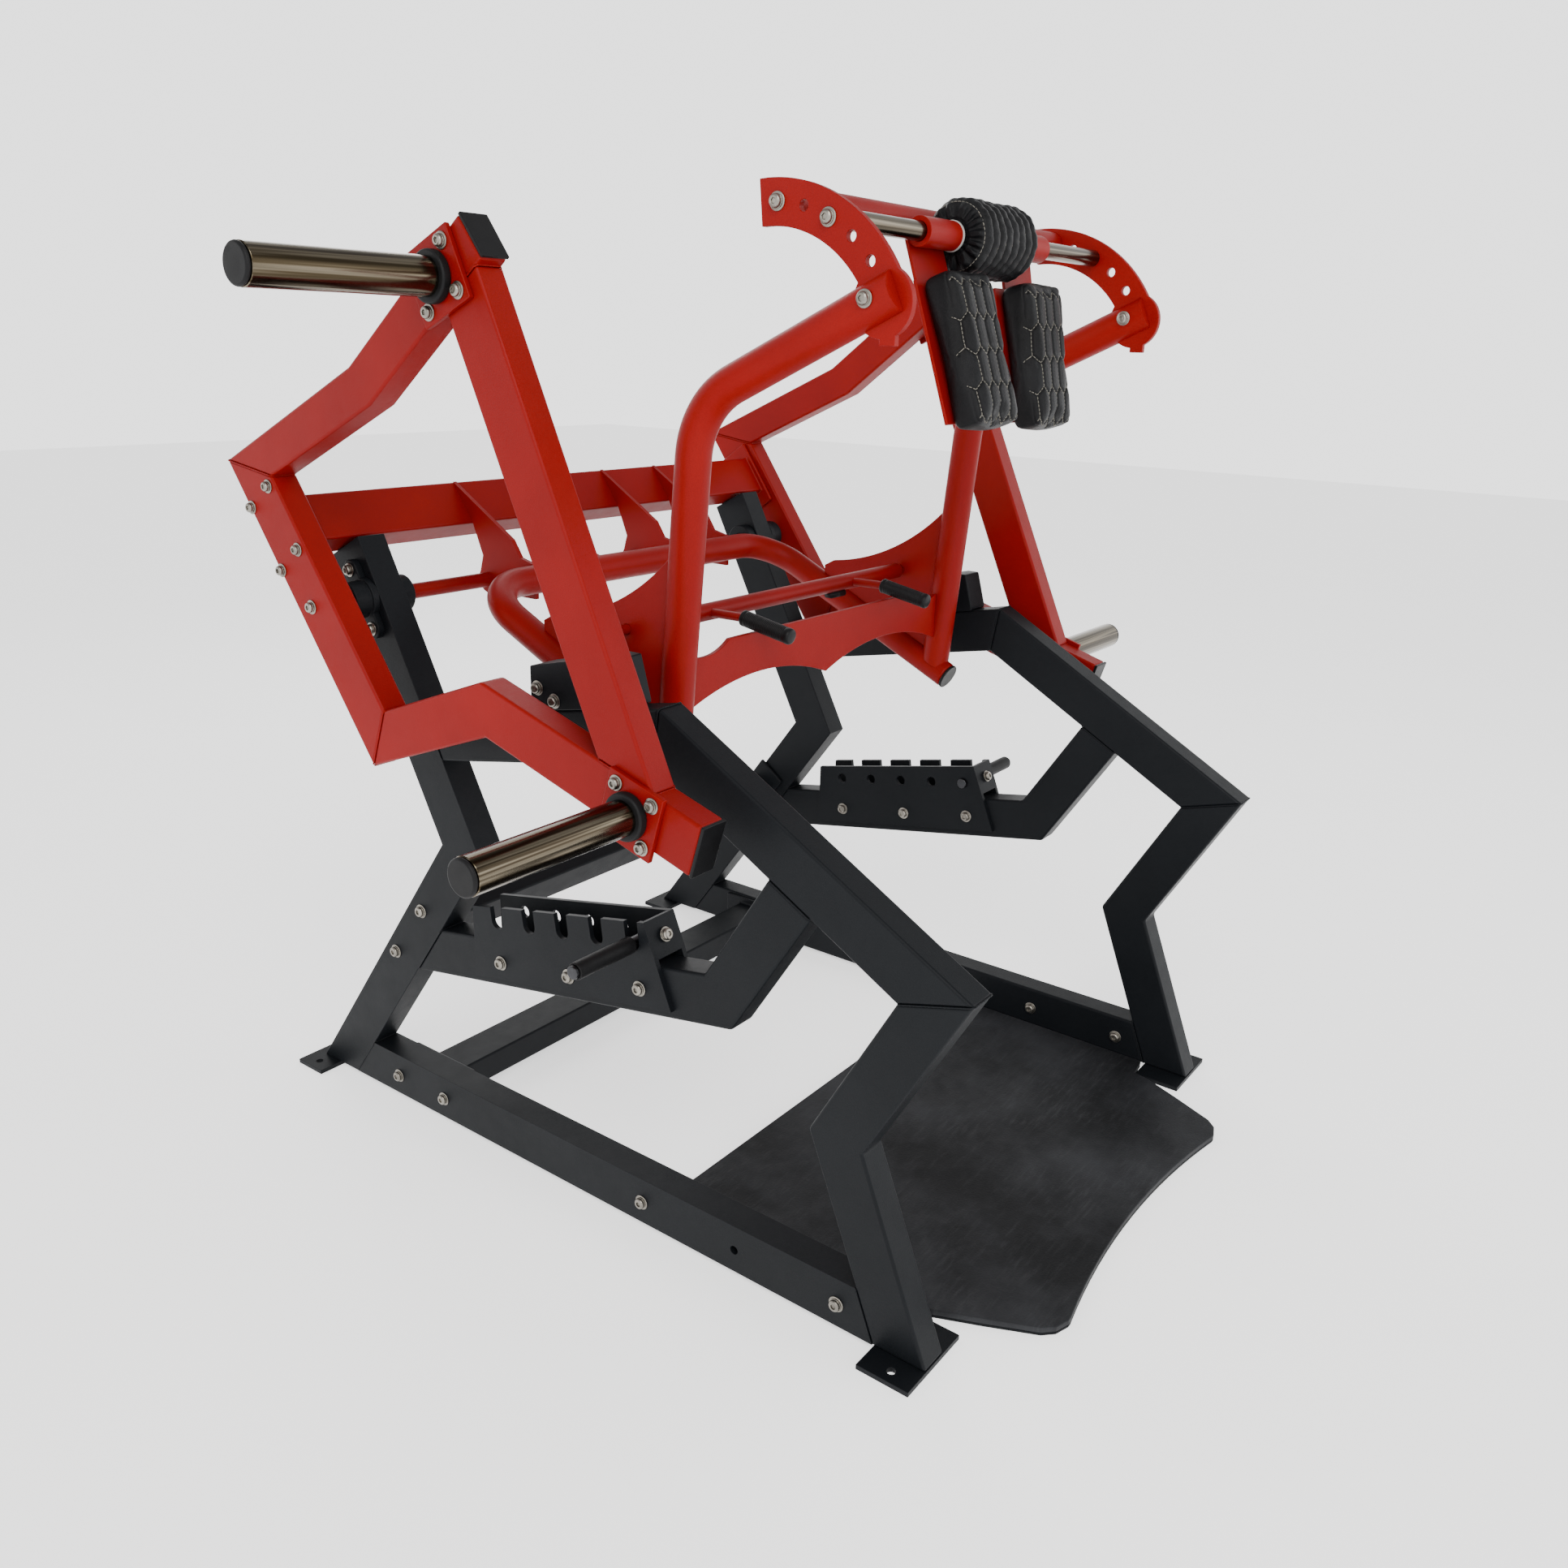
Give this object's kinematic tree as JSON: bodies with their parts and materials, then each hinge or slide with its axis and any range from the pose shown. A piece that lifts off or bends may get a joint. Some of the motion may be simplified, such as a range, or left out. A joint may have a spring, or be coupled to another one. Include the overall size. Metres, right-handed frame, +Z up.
{
  "type": "hack squat machine",
  "caption": "Plate-loaded standing squat machine: zigzag side frames carry a weight arm with a padded shoulder yoke that turns on a rear shaft.",
  "frame": {"origin": "centre of the footprint on the floor", "axes": "+Z up; the lifter stands on the mat at -Y, facing -Y or +Y; the weight arm's shaft lies along X at the rear (+Y)"},
  "size_m": [1.79, 1.472, 1.5179],
  "materials": {
    "frame_black": "textured black powder coat",
    "arm_red": "textured red powder coat",
    "zinc": "zinc-plated bolt heads",
    "chrome": "polished",
    "pin_steel": "ground steel",
    "rubber": "matt black rubber",
    "cap_plastic": "moulded black plastic",
    "pad_leather": "black upholstery with pale stitching",
    "grip_rubber": "ribbed hand grip"
  },
  "bodies": {
    "frame": {"left_base_rail": "frame_black", "right_base_rail": "frame_black", "left_front_leg": "frame_black", "right_front_leg": "frame_black", "left_diagonal_rail": "frame_black", "right_diagonal_rail": "frame_black", "left_top_rail": "frame_black", "right_top_rail": "frame_black", "left_rear_leg": "frame_black", "right_rear_leg": "frame_black", "left_mid_rail": "frame_black", "right_mid_rail": "frame_black", "lower_cross_tube": "frame_black", "upper_cross_tube": "frame_black", "foot_plates": "frame_black", "frame_bolts": "zinc", "left_stop_rack": "frame_black", "right_stop_rack": "frame_black", "left_catch_bracket": "frame_black", "right_catch_bracket": "frame_black", "left_bearing": "frame_black", "right_bearing": "frame_black", "foot_platform": "frame_black", "platform_mat": "rubber"},
    "arm": {"left_rear_post": "arm_red", "right_rear_post": "arm_red", "left_upper_arm_tube": "arm_red", "right_upper_arm_tube": "arm_red", "left_lower_arm_tube": "arm_red", "right_lower_arm_tube": "arm_red", "left_strut": "arm_red", "right_strut": "arm_red", "tube_end_caps": "cap_plastic", "rear_beam": "arm_red", "beam_gussets": "arm_red", "pivot_shaft": "arm_red", "u_tube": "arm_red", "left_yoke_tube": "arm_red", "right_yoke_tube": "arm_red", "side_gussets": "arm_red", "front_plate": "arm_red", "left_crescent": "arm_red", "right_crescent": "arm_red", "stay_tube": "arm_red", "chrome_bar": "chrome", "weight_pegs": "chrome", "peg_collars": "rubber", "peg_flanges": "arm_red", "arm_bolts": "zinc"},
    "left_pin": {"left_stop_pin": "pin_steel", "left_pin_sleeve": "rubber"},
    "right_pin": {"right_stop_pin": "pin_steel", "right_pin_sleeve": "rubber"},
    "left_pad": {"left_pad_hanger": "arm_red", "left_shoulder_pad": "pad_leather"},
    "right_pad": {"right_pad_hanger": "arm_red", "right_shoulder_pad": "pad_leather"},
    "roller": {"roller_pad": "pad_leather"},
    "release": {"release_bar": "arm_red", "handle_grips": "grip_rubber"}
  },
  "joints": [
    {"name": "arm_pivot", "type": "hinge", "parent": "frame", "child": "arm", "pos_m": [0, 0.472, 0.92], "axis": [1, 0, 0], "range_deg": [-1, 16.6]},
    {"name": "left_pad_swing", "type": "hinge", "parent": "arm", "child": "left_pad", "pos_m": [0, -0.31022, 1.46593], "axis": [1, 0, 0], "range_deg": [-42, 7.5]},
    {"name": "right_pad_swing", "type": "hinge", "parent": "arm", "child": "right_pad", "pos_m": [0, -0.31022, 1.46593], "axis": [1, 0, 0], "range_deg": [-50, 0]},
    {"name": "roller_spin", "type": "hinge", "parent": "arm", "child": "roller", "pos_m": [0, -0.31022, 1.46593], "axis": [1, 0, 0], "continuous": true},
    {"name": "release_turn", "type": "hinge", "parent": "arm", "child": "release", "pos_m": [0, 0.028, 0.916], "axis": [1, 0, 0], "range_deg": [-35, 0]},
    {"name": "left_pin_slide", "type": "slide", "parent": "frame", "child": "left_pin", "axis": [-1, 0, 0], "range_m": [0, 0.075]},
    {"name": "right_pin_slide", "type": "slide", "parent": "frame", "child": "right_pin", "axis": [1, 0, 0], "range_m": [0, 0.075]}
  ]
}
